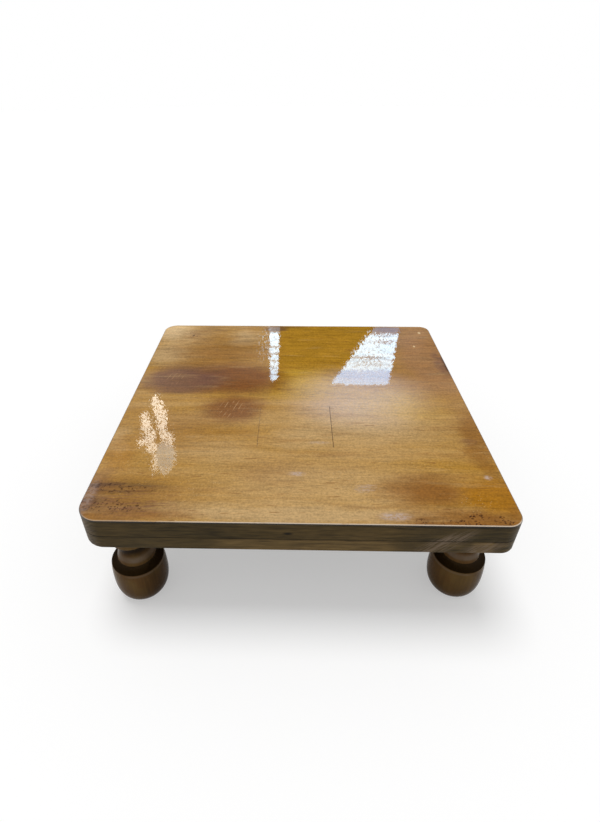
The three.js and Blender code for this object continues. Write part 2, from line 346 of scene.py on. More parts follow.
# Clouds: soft ovals as rows of place, reach, share of the reach that fades, and strength.
# Places and reaches are in millimetres.
TOP_STAIN = (
    ("pale", (
        (85, -62, 100, 46, 0.75, 0.90), (20, -168, 125, 40, 0.70, 0.60), (-10, -216, 190, 14, 0.60, 0.95),
        (100, -202, 34, 12, 0.60, 0.20), (-100, -118, 50, 22, 0.70, 0.45), (-205, 190, 36, 36, 0.80, 0.95),
        (-205, 120, 32, 30, 0.70, 1.00), (-90, 180, 22, 30, 0.75, 0.90), (0, -92, 40, 16, 0.75, 0.50),
        (-222, -95, 14, 24, 0.75, 0.60), (60, -50, 60, 30, 0.75, 0.35), (-175, 160, 40, 50, 0.75, 0.45),
        (-110, -50, 60, 18, 0.75, 0.40),
    )),
    ("straw", ((8, 52, 40, 26, 0.75, 0.75), (20, 16, 70, 24, 0.75, 0.70), (150, -10, 62, 34, 0.75, 0.75))),
    ("cream", ((-214, 206, 24, 24, 0.70, 0.50),)),
    ("rose", ((205, 120, 62, 130, 0.60, 0.85),)),
    ("brown", (
        (-120, 125, 70, 42, 0.80, 0.62), (-150, 185, 30, 30, 0.80, 0.25), (140, -180, 44, 22, 0.70, 0.95),
        (-140, -75, 55, 35, 0.80, 0.32), (218, -80, 20, 50, 0.80, 0.40), (-185, -190, 70, 30, 0.70, 0.38),
        (-30, -150, 40, 16, 0.80, 0.25), (-60, 20, 40, 20, 0.80, 0.30), (-185, -202, 55, 20, 0.70, 0.12),
        (165, -221, 70, 12, 0.60, 0.80), (223, -200, 10, 26, 0.60, 0.75), (219, -100, 14, 70, 0.60, 0.55),
        (-180, -220, 60, 10, 0.60, 0.70),
    )),
    ("amber", ((204, -186, 30, 26, 0.45, 0.95), (-212, -125, 20, 28, 0.60, 0.50))),
)
TOP_BLOTCHES = (
    ("russet", ((-84, -28, 38, 28, 0.50, 0.78),)),
    ("smoke", (
        (-220, -190, 12, 34, 0.60, 0.45), (224, 95, 10, 34, 0.60, 0.60), (157, 214, 22, 14, 0.50, 0.60),
        (-38, 215, 14, 12, 0.50, 0.60), (205, -96, 10, 6, 0.70, 0.35),
    )),
)
SOOT = (
    (-186, -180, 40, 9.0, 0.90, 1.00), (-216, -203, 16, 8.5, 0.80, 1.00), (-170, -203, 34, 6.0, 0.90, 0.55),
    (-178, -213, 30, 3.5, 0.80, 0.45), (-222, -176, 14, 5.0, 0.80, 0.80), (-160, 208, 35, 3.5, 0.80, 0.60),
    (-11, 222, 22, 5.0, 0.80, 0.75), (-30, 212, 12, 5.0, 0.80, 0.70),
)
FLECKED = (
    (126, -222.2, 10, 4.2, 0.60, 1.00), (183, -220, 16, 7.5, 0.50, 1.00), (206, -222, 14, 4.0, 0.50, 1.00),
    (150, -225, 30, 2.5, 0.50, 1.00), (-216, -179, 18, 8.0, 0.50, 1.00), (-220, -204, 10, 10.0, 0.50, 1.00),
    (-178, -183, 22, 5.0, 0.50, 1.00), (-186, -206, 32, 7.5, 0.50, 1.00), (-176, 194, 12, 14.0, 0.50, 1.00),
)
WORN = (
    (-1, -155, 8, 3.4, 0.60, 0.90), (27, -99, 12, 2.6, 0.60, 0.40), (211, -158, 4, 3.4, 0.60, 1.00),
    (99, -217, 14, 5.0, 0.60, 1.00), (-223, -194, 6, 24.0, 0.60, 0.45),
)
SPECKS = (("cream", ((209.6, 202.9, 2.2, 3.52, 0.40, 0.90), (191.2, 153.2, 1.7, 2.72, 0.40, 0.90))),)


def cloud(spot, x, y, across, along, soft, lean=0.0):
    """A soft oval, 1 inside and 0 outside, where spot is (x, y, 1) in metres."""
    parts = []
    for turn, reach in ((lean, across * MM), (lean + math.pi / 2, along * MM)):
        slope_x, slope_y = math.cos(turn) / reach, math.sin(turn) / reach
        row = (slope_x, slope_y, -slope_x * x * MM - slope_y * y * MM)
        parts.append(spot.vector_maths("DOT_PRODUCT", row))
    distance = spot.finish.point(*parts, 0.0).vector_maths("LENGTH")
    return distance.step(1.0 + soft, 1.0 - soft)


def clouds(spot, rows, lean=0.0):
    """The sum of one cloud for each row, each times its strength."""
    ovals = [cloud(spot, *oval, lean) * strength for *oval, strength in rows]
    return sum(ovals[1:], ovals[0])


def lay_clouds(spot, colours, table):
    """Lays colours over the shade, one cloud for each row under a colour's name."""
    for name, rows in table:
        for *oval, strength in rows:
            spot.finish.lay(cloud(spot, *oval) * strength, getattr(colours, name))


def grain(finish, x, y, z, seed=0.0):
    """Wood grain that runs along X: fine pores, dashes, streaks and broad bands, each from 0 to 1."""
    waver = finish.noise(x * 5.0, y * 9.0, z * 9.0) - 0.5
    y = y + waver * 0.004
    broad = finish.noise(x * 2.2, y * 34.0, z * 34.0, 3.0, 0.55, 0.3)
    streak = finish.noise(x * 9.0 + seed, y * 190.0, z * 190.0, 3.0, 0.6, 0.2)
    dash = finish.noise(x * 42.0 + seed, y * 420.0, z * 420.0, 2.0, 0.6)
    pore = finish.noise(x * 90.0 + seed, y * 1400.0, z * 1400.0, 2.0, 0.6)
    return pore, dash, streak, broad


def dots(finish, x, y, scale, outer, inner):
    """Small round dots on the top, one in each cell."""
    inputs = {"Vector": finish.point(x, y, 0.0), "Scale": scale}
    return finish.value("ShaderNodeTexVoronoi", "Distance", None, inputs).step(outer, inner)


def stain_top(finish, colours, spot, x, y, z, wood):
    """The top's clouded stain, from its gold stripe to its blotches and sooty streaks."""
    _, dash, streak, broad = wood
    finish.shade = finish.blend(broad.step(0.40, 0.66) * 0.35, colours.honey, colours.pale)
    finish.lay(y.step(0.005, 0.100) * x.step(-0.05, -0.02) * 0.95, colours.gold)
    lay_clouds(spot, colours, TOP_STAIN)
    finish.lay(cloud(spot, -88, 48, 66, 40, 0.45) * y.step(0.002, 0.014) * 0.85, colours.russet)
    finish.lay(cloud(spot, -165, 45, 56, 40, 0.45) * y.step(0.000, 0.010) * 0.85, colours.smoke)
    lay_clouds(spot, colours, TOP_BLOTCHES)

    mottle = finish.noise(x * 12.0, y * 80.0, z * 20.0, 4.0, 0.6, 0.3)
    finish.lay(mottle.step(0.50, 0.72) * 0.32, colours.brown)
    finish.lay(mottle.step(0.46, 0.28) * 0.26, colours.pale)
    sooty = clouds(spot, SOOT) * (streak.step(0.36, 0.62) * 0.75 + 0.25)
    sooty = sooty * (dash.step(0.30, 0.60) * 0.70 + 0.30)
    finish.lay(sooty.clamped() * 0.80, colours.soot)
    finish.lay(cloud(spot, -180, -204, 48, 16, 0.60) * (dash.step(0.50, 0.62) * 0.6), colours.smoke)


def figure_top(finish, colours, x, y, z, seed, wood):
    """Light and dark of the top's grain, bolder at the back."""
    pore, dash, streak, broad = wood
    grit = finish.noise(x * 430.0, y * 430.0, z * 430.0, 2.0, 0.6)
    bold = finish.noise(x * 18.0 + seed, y * 105.0, z, 3.0, 0.65)
    far = y.step(-0.02, 0.14)
    figure = (streak - 0.5) * 0.50 + (dash - 0.5) * 0.80 + (broad - 0.5) * 0.25
    figure = figure + (pore - 0.5) * 0.45 + (grit - 0.5) * 1.00 + (bold - 0.5) * far * 1.20
    finish.deepen(figure * 0.90 + 1.0)
    lines = dash.step(0.58, 0.70) * streak.step(0.45, 0.60) * 0.75 + streak.step(0.64, 0.74) * 0.30
    finish.lay((lines + bold.step(0.60, 0.68) * far * 0.45).clamped(), colours.line)


def fleck_top(finish, colours, flat, spot, x, y, z, streak):
    """Bubbles, specks, a nick, dark flecks and pits in the lacquer."""
    patches = finish.noise(x * 14.0, y * 20.0, 3.0)
    jag = finish.noise(x * 600.0, y * 600.0, 2.0) - 0.5
    bubbles = dots(finish, x + jag * 0.002, y, 330.0, 0.20, 0.10)
    finish.lay(bubbles * patches.step(0.46, 0.66) * y.step(0.03, -0.06) * 0.40, colours.cream)
    lay_clouds(flat, colours, SPECKS)
    nick = cloud(flat, 229, 92, 4.5, 28, 0.60)
    finish.lay(nick * (streak.step(0.30, 0.60) * 0.3 + 0.6), colours.fleck)
    sparse = finish.noise(x * 120.0, y * 120.0, z).step(0.44, 0.54)
    flecked = clouds(spot, FLECKED).clamped()
    finish.lay(flecked * 0.22, colours.russet)
    flecks = dots(finish, x + jag * 0.006, y + jag * 0.003, 420.0, 0.46, 0.34) * sparse * flecked
    finish.lay(flecks * 0.95, colours.fleck)
    pits = dots(finish, x, y, 42.0, 0.034, 0.022) * patches.step(0.56, 0.60)
    finish.lay(pits * 0.8, colours.fleck)


def wear_top(finish, colours, flat, spot, x, y, z):
    """Scratches and pale worn marks in the lacquer. Both masks are returned, because they dull the gloss."""
    waver = finish.noise(x * 30.0, y * 30.0, z, 1.0) * 3.0
    hatch = ((x * 0.95 - y * 0.31) * 966.0 + waver).maths("SINE").step(0.86, 0.98)
    patchy = finish.noise(x * 60.0, y * 60.0, z).step(0.40, 0.52)
    scratched = cloud(flat, -88, -28, 16, 20, 0.30) + cloud(flat, -180, 48, 14, 15, 0.30) * 0.6
    scratched = (scratched * hatch * patchy).clamped()
    finish.lay(scratched * 0.9, colours.scratch)
    ragged = finish.noise(x * 260.0, y * 420.0, z, 3.0, 0.6).step(0.40, 0.56)
    worn = cloud(spot, 75, -179, 10, 4, 0.50) * 0.5 + clouds(flat, WORN)
    worn = (worn * (ragged * 0.75 + 0.25)).clamped()
    finish.lay(worn * 0.70, colours.mark)
    return scratched, worn


def arris_soot_and_painted_light(finish, sizes, colours, x, y, z):
    """The top's arris: a painted highlight in a pale colour at the front, sooty elsewhere, and painted shade
    just below.
    """
    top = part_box("front_board")[1].z
    arris = sizes.board_arris
    front = y.step(-0.214, -0.224)
    along = finish.noise(x * 30.0, y * 30.0, 1.0, 4.0, 0.6)
    edge = z.step(top - arris * 0.002, top - arris * 0.05)
    finish.lay(edge * (1.0 - front) * (0.9 - along * 0.6), colours.soot)
    # Painted highlight: the front arris is laid in a pale colour, patchy along its length.
    highlit = along.step(0.30, 0.50) * (x.step(-0.16, -0.10) * 0.6 + 0.2) + 0.2
    finish.lay(edge * front * highlit, colours.lighter_tone)
    # Painted shade just under the arris.
    finish.lay(z.step(top - arris * 0.26, top - arris * 0.42), colours.dark_line_and_shade)


def top_finish(finish, sizes, colours):
    """Glossy honey-brown lacquer over straight grain, with clouds, scratches and marks."""
    x, y, z = finish.place()
    joints = [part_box("front_board")[1].y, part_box("middle_board")[0].y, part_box("back_board")[0].y]
    left_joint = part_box("jointed_board_left")[1].x
    right_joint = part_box("jointed_board_right")[0].x
    front, middle_row, back = [y.maths("GREATER_THAN", joint) for joint in joints]
    jointed = front * y.maths("LESS_THAN", joints[1])
    pieces = x.maths("GREATER_THAN", left_joint) + x.maths("GREATER_THAN", right_joint)
    seed = (front + middle_row + back) * 0.31 + jointed * pieces * 0.23
    wood = grain(finish, x, y, z, seed)
    _, dash, streak, broad = wood
    drift_x = (finish.noise(x * 16.0, y * 26.0, 0.0, 4.0, 0.65) - 0.5) * 0.060
    drift_y = (finish.noise(x * 14.0 + 9.0, y * 60.0, 0.0, 4.0, 0.65) - 0.5) * 0.030
    flat = finish.point(x, y, 1.0)
    spot = finish.point(x + drift_x, y + drift_y, 1.0)

    stain_top(finish, colours, spot, x, y, z, wood)
    figure_top(finish, colours, x, y, z, seed, wood)
    fleck_top(finish, colours, flat, spot, x, y, z, streak)
    scratched, worn = wear_top(finish, colours, flat, spot, x, y, z)

    first, second, third = [(y - joint).line(0.0005, 0.00015) for joint in joints]
    finish.lay((first + second + third) * 0.07 * broad.step(0.40, 0.60), colours.joint)
    right_butt = (x - right_joint).line(0.0008, 0.0002) * jointed
    left_butt = (x - left_joint).line(0.0008, 0.0002) * jointed * y.step(-0.045, -0.066)
    open_joint = (right_butt * 0.68 + left_butt * 0.28) * (dash.step(0.30, 0.55) * 0.4 + 0.6)
    finish.lay(open_joint.clamped(), colours.joint)
    arris_soot_and_painted_light(finish, sizes, colours, x, y, z)

    swell = finish.noise(x * 22.0, y * 95.0, z * 60.0)
    peel = finish.noise(x * 330.0, y * 430.0, z * 330.0, 2.0, 0.55)
    dull = finish.noise(x * 9.0, y * 9.0, z, 3.0, 0.6)
    gloss = dull.step(0.45, 0.75) * 0.02 + scratched * 0.15 + worn * 0.3 + 0.02
    return finish.lacquer(gloss, finish.bump(swell + peel * 0.03, 0.000007), 0.40)


def edge_finish(finish, sizes, colours):
    """Dark olive-brown stain on the top's edges and on the frame, thinner and scuffed in places, with painted
    shade just under the top's arris.
    """
    x, y, z = finish.place()
    _, dash, streak, broad = grain(finish, x, y, z, 5.3)
    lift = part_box("front_board")[0].z
    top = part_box("front_board")[1].z
    along = finish.noise(x * 7.0, y * 7.0, z * 40.0, 4.0, 0.6)
    warm = finish.noise(x * 9.0 + 4.0, y * 9.0, z * 60.0, 3.0, 0.6)
    front = y.step(-0.20, -0.22)
    centre = x.step(-0.130, 0.020) * x.step(0.130, 0.095) * front
    share = (warm.step(0.42, 0.66) * 0.40 + centre * 0.55).clamped()
    finish.shade = finish.blend(share, colours.olive, colours.olive_warm)
    below = z.step(lift + 0.0004, lift - 0.0004)
    lighter_tone = x.step(-0.110, -0.060) * x.step(0.108, 0.090) + x.step(0.176, 0.184) * x.step(0.205, 0.198)
    thin = below * (lighter_tone * front * 0.75 + along.step(0.42, 0.66) * 0.35)
    finish.lay(thin.clamped(), colours.olive_thin)
    figure = (streak - 0.5) * 1.1 + (dash - 0.5) * 1.5 + (broad - 0.5) * 0.8
    finish.deepen((figure * 1.1 + 1.0).maths("MAXIMUM", 0.2))
    finish.lay(streak.step(0.60, 0.72) * 0.40, colours.dark_line_and_shade)

    slanted = finish.point(x - (z - lift) * 1.1, z, 1.0)
    brushed = finish.noise((x - z * 1.1) * 520.0, y * 60.0, (z + x) * 40.0, 3.0, 0.6)
    scuff = cloud(slanted, 154, lift / MM - 4, 16, 18, 0.50) * front
    scuff = scuff + cloud(slanted, 203, lift / MM - 10, 16, 9, 0.60) * front * 0.9
    scuff = scuff + x.step(-0.204, -0.222) * 0.62
    finish.lay((scuff * brushed.step(0.36, 0.60)).clamped() * 0.80, colours.olive_scuff)
    knot = cloud(finish.point(x, z, 1.0), -10, lift / MM + 8.5, 4.5, 1.6, 0.70) * front
    finish.lay(knot, colours.dark_line_and_shade)
    # Painted shade: a dark band on the edges just under the top's arris.
    finish.lay(z.step(top - 0.0045, top - 0.0012) * along.step(0.62, 0.42) * 0.8, colours.dark_line_and_shade)
    finish.lay((z - lift).line(0.0008, 0.0002) * 0.75, colours.dark_line_and_shade)
    relief = finish.bump(streak + dash * 0.5, 0.00015, 0.5)
    gloss = finish.noise(x * 20.0, y * 20.0, z * 40.0, 3.0) * 0.2 + 0.34
    return finish.lacquer(gloss, relief, 0.07)


def underside_finish(finish, sizes, colours):
    """Thin brown stain under the boards, with the wood showing through."""
    x, y, z = finish.place()
    _, dash, streak, _ = grain(finish, x, y, z, 8.1)
    patchy = finish.noise(x * 8.0, y * 14.0, z, 4.0, 0.65)
    finish.shade = finish.blend(patchy.step(0.40, 0.75), colours.underside, colours.olive)
    finish.deepen(((streak - 0.5) * 1.0 + (dash - 0.5) * 0.7) * 0.9 + 1.0)
    return finish.lacquer(patchy * 0.2 + 0.50, finish.bump(streak + dash * 0.6, 0.00025, 0.5), 0.35)


# About how far each leg stands from the middle of the table, along X.
LEG_REACH = 0.189


def leg_grain(finish, x, y, z):
    """Upright grain of a turned leg: fine fibres and broad patches, each from 0 to 1."""
    waver = (finish.noise(x * 20.0, y * 20.0, z * 6.0) - 0.5) * 0.01
    fibre = finish.noise((x + waver) * 260.0, (y + waver) * 260.0, z * 9.0, 3.0, 0.6)
    return fibre, finish.noise(x * 45.0, y * 45.0, z * 7.0, 3.0, 0.6)


def leg_finish(finish, sizes, colours):
    """Glossy brown lacquer on turned wood, darker low on the foot, with painted shade on each leg's right
    side and under its collar, and dust with a painted highlight on the ring and the rim.
    """
    x, y, z = finish.place()
    fibre, broad = leg_grain(finish, x, y, z)
    hue = finish.noise(x * 34.0, y * 34.0, z * 24.0)
    finish.shade = finish.blend(hue.step(0.42, 0.60), colours.leg, colours.leg_red)
    finish.lay(z.step(0.050, 0.012) * 0.70, colours.leg_low)
    # Painted shade: the right side of each leg is laid darker, and its ring less pale.
    shaded_right_side = (x - x.step(-0.01, 0.01) * (LEG_REACH * 2) + LEG_REACH).step(0.004, 0.032)
    finish.deepen(((fibre - 0.5) * 0.8 + (broad - 0.5) * 0.7) * 0.8 + 1.06 - shaded_right_side * 0.42)

    patchy = finish.noise(x * 60.0, y * 60.0, z * 60.0)
    ring, waist = sizes.ring_height, sizes.waist_height
    # Dust with a painted highlight on the upper slope of the ring.
    dusty_and_lit = z.step(ring + 0.0034, ring + 0.0070) * z.step(waist - 0.0070, ring + 0.0090)
    dusty_and_lit = dusty_and_lit * (1.0 - shaded_right_side * 0.6) * (patchy.step(0.30, 0.60) * 0.40 + 0.60)
    finish.lay(dusty_and_lit, colours.leg_dusty_and_lit)
    # Painted shade: a dark band on the neck under the collar.
    groove = z.step(waist - 0.0120, waist - 0.0010) * z.step(waist + 0.0110, waist + 0.0080)
    finish.lay(groove, colours.leg_collar_shade)
    # Dust with a painted highlight along the rim.
    rim = (z - sizes.rim_height + 0.0022).line(0.0022, 0.0006)
    finish.lay(rim * patchy.step(0.25, 0.55) * 0.40, colours.leg_dusty_and_lit)

    rings = (z * 5200.0 + (patchy - 0.5) * 1.5).maths("SINE")
    relief = finish.bump(fibre, 0.00008, 0.25, finish.bump(rings, 0.00003, 0.25))
    return finish.lacquer(finish.noise(x * 35.0, y * 35.0, z * 35.0, 3.0) * 0.18 + 0.16, relief, 0.035)


def hollow_shade_finish(finish, sizes, colours):
    """Dull dark stain in the hollow between a leg's rim and its ring, laid darker as painted shade."""
    fibre, broad = leg_grain(finish, *finish.place())
    finish.shade = colours.leg_hollow_shade
    finish.deepen(((fibre - 0.5) * 0.8 + (broad - 0.5) * 0.9) * 0.9 + 1.0)
    return finish.lacquer(broad * 0.25 + 0.25, finish.bump(fibre, 0.00008, 0.25), 0.03)


def screw_finish(finish, sizes, colours):
    """Zinc-plated steel, duller and browner in spots."""
    spots = finish.noise(*[part * 900.0 for part in finish.place()], 4.0, 0.6)
    shade = finish.blend(spots.step(0.52, 0.75) * 0.6, colours.steel, colours.underside)
    metal = 1.0 - spots.step(0.58, 0.80) * 0.5
    relief = finish.bump(spots, 0.00004, 0.3)
    return finish.principled(Base_Color=shade, Roughness=spots * 0.35 + 0.22, Metallic=metal, Normal=relief)


FINISHES = {
    "honey_lacquer": top_finish,
    "olive_stain": edge_finish,
    "underside_stain": underside_finish,
    "leg_lacquer": leg_finish,
    "hollow_shade_stain": hollow_shade_finish,
    "zinc_steel": screw_finish,
}


def finish_named(context, name):
    """The material of that name, made on first use."""
    found = bpy.data.materials.get(name)
    if found:
        return found
    scene = context.scene
    return FINISHES[name](Finish(bpy.data.materials.new(name)), scene.table_sizes, scene.table_colours)


# Modelling by hand

OVERRUN = 0.002


def pick(*objects):
    """Leaves edit mode and selects only these objects; the last one is active."""
    if bpy.context.object and bpy.context.object.mode != "OBJECT":
        bpy.ops.object.mode_set(mode="OBJECT")
    bpy.ops.object.select_all(action="DESELECT")
    for each in objects:
        each.select_set(True)
        bpy.context.view_layer.objects.active = each


def settle(each):
    """Puts an object's place, turn and size into its mesh."""
    pick(each)
    bpy.ops.object.transform_apply(location=True, rotation=True, scale=True)


def delete(each):
    """Deletes an object."""
    pick(each)
    bpy.ops.object.delete()


def add_block(low, high):
    """A block between two corners, ready to be shaped."""
    pick()
    bpy.ops.mesh.primitive_cube_add(size=1, location=(low + high) / 2)
    block = bpy.context.object
    block.scale = high - low
    settle(block)
    return block


def choose(piece, kind, wanted):
    """Opens a piece in edit mode with only the edges or faces selected for which wanted(each) is true."""
    pick(piece)
    bpy.ops.object.mode_set(mode="EDIT")
    bpy.ops.mesh.select_mode(type=kind)
    bpy.ops.mesh.select_all(action="DESELECT")
    mesh = bmesh.from_edit_mesh(piece.data)
    parts = mesh.edges if kind == "EDGE" else mesh.faces
    for each in parts:
        each.select = wanted(each)
    mesh.select_flush_mode()
    bmesh.update_edit_mesh(piece.data)
    return any(each.select for each in parts)


def ease(piece, wanted, width, steps):
    """Bevels the edges for which wanted(start, end) is true."""
    if choose(piece, "EDGE", lambda edge: wanted(*[vert.co for vert in edge.verts])):
        bpy.ops.mesh.bevel(offset=width, segments=steps, profile=0.5, affect="EDGES", clamp_overlap=True)
    bpy.ops.object.mode_set(mode="OBJECT")


def near(first, second, reach=1e-5):
    """True where two numbers are equal to a hundredth of a millimetre."""
    return abs(first - second) < reach


def round_corners(block, sizes):
    """Rounds the block's upright edges that are corners of the whole table."""
    low, high = cad_box
    radii = {
        (low.x, low.y): sizes.front_left_corner,
        (high.x, low.y): sizes.front_right_corner,
        (low.x, high.y): sizes.back_left_corner,
        (high.x, high.y): sizes.back_right_corner,
    }
    for (x, y), radius in radii.items():

        def at_corner(start, end, x=x, y=y):
            return all(near(point.x, x) and near(point.y, y) for point in (start, end))

        ease(block, at_corner, radius, sizes.corner_steps)


def inner_sides(low, high):
    """The axis and place of each side of a block that isn't on the table's outline."""
    sides = []
    for axis in (0, 1):
        for place, outer in ((low[axis], cad_box[0][axis]), (high[axis], cad_box[1][axis])):
            if not near(place, outer):
                sides.append((axis, place))
    return sides


def level_edges(height, sides, inner):
    """A test for the edges at a height, either on the sides or off them."""

    def wanted(start, end):
        on_side = any(near(start[axis], place) and near(end[axis], place) for axis, place in sides)
        return near(start.z, height) and near(end.z, height) and on_side == inner

    return wanted


def turn_profile(points, steps):
    """A closed solid turned round the Z axis from (radius, height) points that start and end on the axis."""
    pick()
    bpy.ops.mesh.primitive_plane_add(size=0.001)
    solid = bpy.context.object
    bpy.ops.object.mode_set(mode="EDIT")
    bpy.ops.mesh.select_mode(type="VERT")
    bpy.ops.mesh.select_all(action="SELECT")
    bpy.ops.mesh.merge(type="CENTER")
    bpy.ops.transform.translate(value=(points[0][0], 0, points[0][1]))
    for (radius, height), (next_radius, next_height) in zip(points, points[1:]):
        move = (next_radius - radius, 0, next_height - height)
        bpy.ops.mesh.extrude_region_move(TRANSFORM_OT_translate={"value": move})
    bpy.ops.mesh.select_all(action="SELECT")
    bpy.ops.mesh.spin(steps=steps, angle=2 * math.pi, center=(0, 0, 0), axis=(0, 0, 1))
    bpy.ops.mesh.select_all(action="SELECT")
    bpy.ops.mesh.remove_doubles(threshold=1e-6)
    bpy.ops.mesh.normals_make_consistent(inside=False)
    bpy.ops.object.mode_set(mode="OBJECT")
    return solid


def cut(piece, cutters):
    """Takes the cutters away from a piece with one Boolean modifier, and deletes them."""
    if not cutters:
        return
    pick(*cutters)
    if len(cutters) > 1:
        bpy.ops.object.join()
    cutter = bpy.context.object
    pick(piece)
    hole = piece.modifiers.new("holes", "BOOLEAN")
    hole.operation = "DIFFERENCE"
    hole.solver = "EXACT"
    hole.object = cutter
    bpy.ops.object.modifier_apply(modifier=hole.name)
    delete(cutter)


def add_drill(spot, points, steps):
    """A turned cutter at a place in plan."""
    drill = turn_profile(points, steps)
    drill.location = (spot.x, spot.y, 0)
    settle(drill)
    return drill


def finish_piece(context, piece, node, finishes, angle=30.0):
    """Names a piece, smooths it and ties it to the node that it stands for."""
    pick(piece)
    piece.name = node + "_finished"
    piece.data.name = piece.name
    bpy.ops.object.shade_smooth_by_angle(angle=math.radians(angle))
    flatter = piece.modifiers.new("flatter", "WEIGHTED_NORMAL")
    flatter.keep_sharp = True
    bpy.ops.object.modifier_apply(modifier=flatter.name)
    for name in finishes:
        piece.data.materials.append(finish_named(context, name))
    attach(piece, "root")
    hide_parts(node)
    return piece


def use_finish(piece, slot_index, wanted):
    """Gives a material slot to the faces for which wanted(face) is true."""
    for face in piece.data.polygons:
        if wanted(face):
            face.material_index = slot_index


def place_copies(context, pattern, nodes, turn, finishes, angle=30.0):
    """Finishes a copy of a pattern at each node, each turned a step further, and deletes the pattern."""
    pieces = []
    for number, node in enumerate(nodes):
        pick(pattern)
        bpy.ops.object.duplicate(linked=False)
        piece = bpy.context.object
        spot = middle(node)
        piece.location = (spot.x, spot.y, 0)
        piece.rotation_euler = (0, 0, number * turn)
        settle(piece)
        pieces.append(finish_piece(context, piece, node, finishes, angle))
    delete(pattern)
    return pieces


def middle(node):
    """The middle of a node's box."""
    low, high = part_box(node)
    return (low + high) / 2


def nodes_over(names, low, high):
    """Each named node whose middle lies over a block's outline, as its middle and its box."""
    for name in names:
        spot = middle(name)
        if low.x < spot.x < high.x and low.y < spot.y < high.y:
            yield spot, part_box(name)


def spigot_drills(low, high, sizes):
    """Cutters for the bores that take the legs' spigots."""
    drills = []
    radius = sizes.spigot_radius + sizes.play
    start = low.z - OVERRUN
    for spot, box in nodes_over(LEGS, low, high):
        top = box[1].z + sizes.play
        bore = [(0, start), (radius, start), (radius, top), (0, top)]
        drills.append(add_drill(spot, bore, sizes.turning_steps))
    return drills


def screw_drills(low, high, sizes, countersunk):
    """Cutters for the screws that pass into a block, with countersinks where the heads lie in it."""
    drills = []
    shank = sizes.screw_shank + sizes.play
    head = sizes.screw_head + sizes.play
    for spot, (screw_low, screw_high) in nodes_over(SCREWS, low, high):
        if countersunk:
            rim, end = screw_low.z - OVERRUN, high.z + OVERRUN
            neck = (shank, screw_low.z + sizes.screw_head_depth)
            hole = [(0, rim), (head, rim), (head, screw_low.z), neck, (shank, end), (0, end)]
        else:
            rim, tip = low.z - OVERRUN, screw_high.z + sizes.play
            hole = [(0, rim), (shank, rim), (shank, screw_high.z - sizes.screw_tip), (0, tip)]
        drills.append(add_drill(spot, hole, sizes.screw_steps))
    return drills


def tenon_section(node, sizes, shoulder):
    """The half width, half thickness, middle and height of a node's tenons."""
    low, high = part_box(node)
    half_width = (high.x - low.x) / 2 - shoulder
    return half_width, sizes.tenon_thickness / 2, (low.x + high.x) / 2, (low.z + high.z) / 2


def add_tenons(piece, node, sizes, shoulder):
    """Draws a stub tenon out of each end of a rail or batten."""
    inset = 0.0001
    half_width, half_thickness, x, z = tenon_section(node, sizes, shoulder)
    low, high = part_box(node)
    width, thickness = high.x - low.x - inset * 2, high.z - low.z - inset * 2
    shrink = (half_width * 2 / width, 1, half_thickness * 2 / thickness)
    for way in (-1, 1):
        choose(piece, "FACE", lambda face, way=way: face.normal.y * way > 0.9)
        bpy.ops.mesh.inset(thickness=inset)
        bpy.ops.transform.resize(value=shrink, center_override=(x, 0, z))
        reach = sizes.tenon_length - sizes.play
        bpy.ops.mesh.extrude_region_move(TRANSFORM_OT_translate={"value": (0, way * reach, 0)})
        bpy.ops.object.mode_set(mode="OBJECT")


def add_tenoned(node, sizes, shoulder):
    """A block between a node's shoulders with a tenon at each end, and how far each tenon reaches."""
    low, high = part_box(node)
    reach = Vector((0, sizes.tenon_length - sizes.play, 0))
    piece = add_block(low + reach, high - reach)
    add_tenons(piece, node, sizes, shoulder)
    return piece, reach.y


# One operator for each group of pieces


class TABLE_OT_boards(bpy.types.Operator):
    """Build the six boards of the top, with rounded corners, a soft arris and fine joints"""

    bl_idname = "low_table.boards"
    bl_label = "Boards"

    def execute(self, context):
        sizes = context.scene.table_sizes
        for node in BOARDS:
            low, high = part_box(node)
            board = add_block(low, high)
            sides = inner_sides(low, high)
            round_corners(board, sizes)
            ease(board, level_edges(high.z, sides, False), sizes.board_arris, sizes.arris_steps)
            ease(board, level_edges(low.z, sides, False), sizes.layer_groove, 1)
            butts = [side for side in sides if side[0] == 0]
            rows = [side for side in sides if side[0] == 1]
            ease(board, level_edges(high.z, butts, True), sizes.butt_groove, 2)
            ease(board, level_edges(high.z, rows, True), sizes.row_groove, 1)
            cut(board, spigot_drills(low, high, sizes) + screw_drills(low, high, sizes, False))
            finish_piece(context, board, node, ("honey_lacquer", "olive_stain", "underside_stain"))
            edge = high.z - sizes.board_arris * 0.95
            use_finish(board, 1, lambda face: face.center.z < edge and abs(face.normal.z) < 0.9)
            use_finish(board, 2, lambda face: face.normal.z < -0.9)
        return {"FINISHED"}


